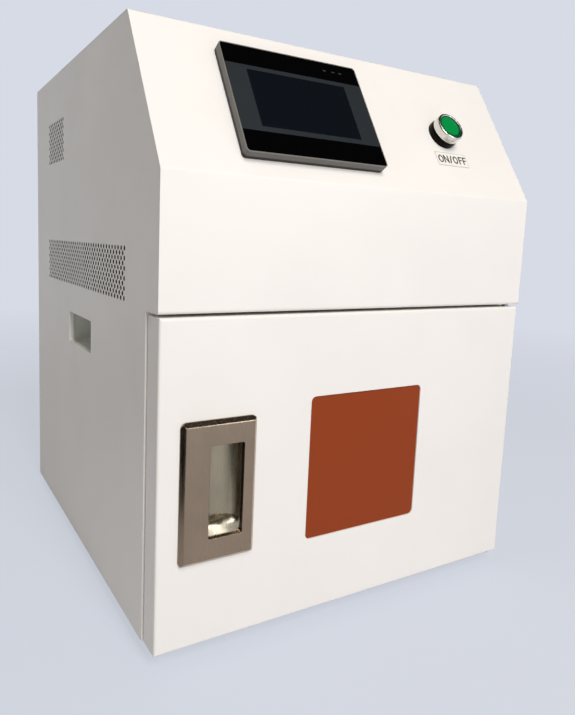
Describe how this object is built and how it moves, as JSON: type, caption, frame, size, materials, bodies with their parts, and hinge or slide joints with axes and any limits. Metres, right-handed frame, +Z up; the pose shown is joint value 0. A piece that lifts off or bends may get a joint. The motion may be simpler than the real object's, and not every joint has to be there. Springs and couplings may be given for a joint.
{
  "type": "dental lab light curing unit",
  "caption": "Bench-top light curing cabinet with a sloping touch panel, a side-hinged door with an amber window and flush pull, and a turntable under an array of emitters.",
  "frame": {"origin": "on the surface that the feet stand on, under the middle of the unit's outline", "axes": "+X to the right seen from the front, +Y from the door to the back, +Z up; the door faces -Y"},
  "size_m": [0.38, 0.4204, 0.494],
  "materials": {
    "white_powder_coat": "satin warm white powder coat",
    "zinc_sheet": "zinc-plated sheet steel",
    "zinc_screws": "zinc-plated screws",
    "grey_moulding": "matt pale grey moulding",
    "black_rubber": "matt black rubber",
    "stainless_lining": "brushed stainless sheet",
    "turned_aluminium": "turned aluminium",
    "turned_steel": "bright steel",
    "natural_nylon": "natural nylon",
    "motor_can": "plated motor can",
    "clear_glass": "clear borosilicate glass",
    "white_board": "white solder mask on an aluminium board",
    "led_packages": "ceramic packages with clear domes",
    "black_heatsink": "black anodised extrusion",
    "black_moulding": "fine-textured black moulding",
    "white_moulding": "white moulding",
    "amber_acrylic": "amber light-blocking acrylic",
    "satin_nickel": "satin brownish nickel plate",
    "polished_nickel": "polished nickel plate",
    "magnet_black": "black catch bodies",
    "grey_bezel": "fine-textured grey moulding",
    "black_bezel": "smooth black moulding",
    "black_overlay": "black front film",
    "lcd_glass": "dark screen, off",
    "green_lens": "translucent green lens",
    "chromed_ring": "chromed brass ring",
    "aluminium_case": "anodised case",
    "circuit_board": "green circuit board"
  },
  "bodies": {
    "cabinet": {"top_front_cover": "white_powder_coat", "left_side_panel": "white_powder_coat", "right_side_panel": "white_powder_coat", "base_pan": "zinc_sheet", "front_frame": "white_powder_coat", "rear_cover": "white_powder_coat", "rear_cover_screws": "zinc_screws", "equipment_shelf": "zinc_sheet", "left_carry_grip": "grey_moulding", "right_carry_grip": "grey_moulding", "rubber_feet": "black_rubber", "foot_screws": "zinc_screws", "chamber_liner": "stainless_lining", "chamber_back_wall": "stainless_lining", "chamber_ceiling": "stainless_lining", "chamber_supports": "zinc_sheet", "turntable_bearing": "natural_nylon", "turntable_motor": "motor_can", "led_cover_glass": "clear_glass", "glass_clamp_frame": "zinc_sheet", "led_board": "white_board", "uv_leds": "led_packages", "led_heatsink": "black_heatsink", "lamp_spacers": "turned_steel", "lamp_fan_frame": "black_moulding", "top_hinge_bracket": "turned_steel", "bottom_hinge_bracket": "turned_steel", "magnet_catches": "magnet_black", "door_sensor": "white_moulding", "hmi_bezel": "grey_bezel", "hmi_overlay": "black_overlay", "hmi_display": "lcd_glass", "hmi_rear_case": "black_moulding", "hmi_gasket": "black_rubber", "hmi_clamps": "zinc_screws", "button_ring": "chromed_ring", "button_collar": "black_bezel", "button_nut": "zinc_screws", "button_contact_block": "black_moulding", "mains_inlet": "black_moulding", "rear_fan_frame": "black_moulding", "power_supply": "zinc_sheet", "led_driver": "aluminium_case", "control_board": "circuit_board"},
    "door": {"door_shell": "white_powder_coat", "door_inner_panel": "white_powder_coat", "door_window": "amber_acrylic", "window_retainer": "black_moulding", "door_seal": "black_rubber", "handle_plate": "satin_nickel", "handle_cup": "polished_nickel", "handle_screws": "zinc_screws", "door_strike_plates": "zinc_screws", "sensor_magnet": "white_moulding", "door_bushes": "natural_nylon"},
    "turntable": {"turntable_plate": "turned_aluminium", "drive_spindle": "turned_steel"},
    "power_button": {"button_cap": "green_lens"},
    "lamp_fan_wheel": {"lamp_fan_rotor": "black_moulding"},
    "rear_fan_wheel": {"rear_fan_rotor": "black_moulding"}
  },
  "joints": [
    {"name": "door_hinge", "type": "hinge", "parent": "cabinet", "child": "door", "pos_m": [0.1818, -0.19685, 0.012], "axis": [0, 0, 1], "range_deg": [0, 110]},
    {"name": "power_button_press", "type": "slide", "parent": "cabinet", "child": "power_button", "axis": [0, 0.859, -0.5119], "range_m": [0, 0.003], "stiffness_N_per_m": 900, "springref_m": -0.0015},
    {"name": "turntable_spin", "type": "hinge", "parent": "cabinet", "child": "turntable", "pos_m": [0, -0.02015, 0.057], "axis": [0, 0, 1], "continuous": true},
    {"name": "lamp_fan_spin", "type": "hinge", "parent": "cabinet", "child": "lamp_fan_wheel", "pos_m": [0, -0.02015, 0.3036], "axis": [0, 0, 1], "continuous": true},
    {"name": "rear_fan_spin", "type": "hinge", "parent": "cabinet", "child": "rear_fan_wheel", "pos_m": [0.095, 0.20595, 0.417], "axis": [0, 1, 0], "continuous": true}
  ]
}
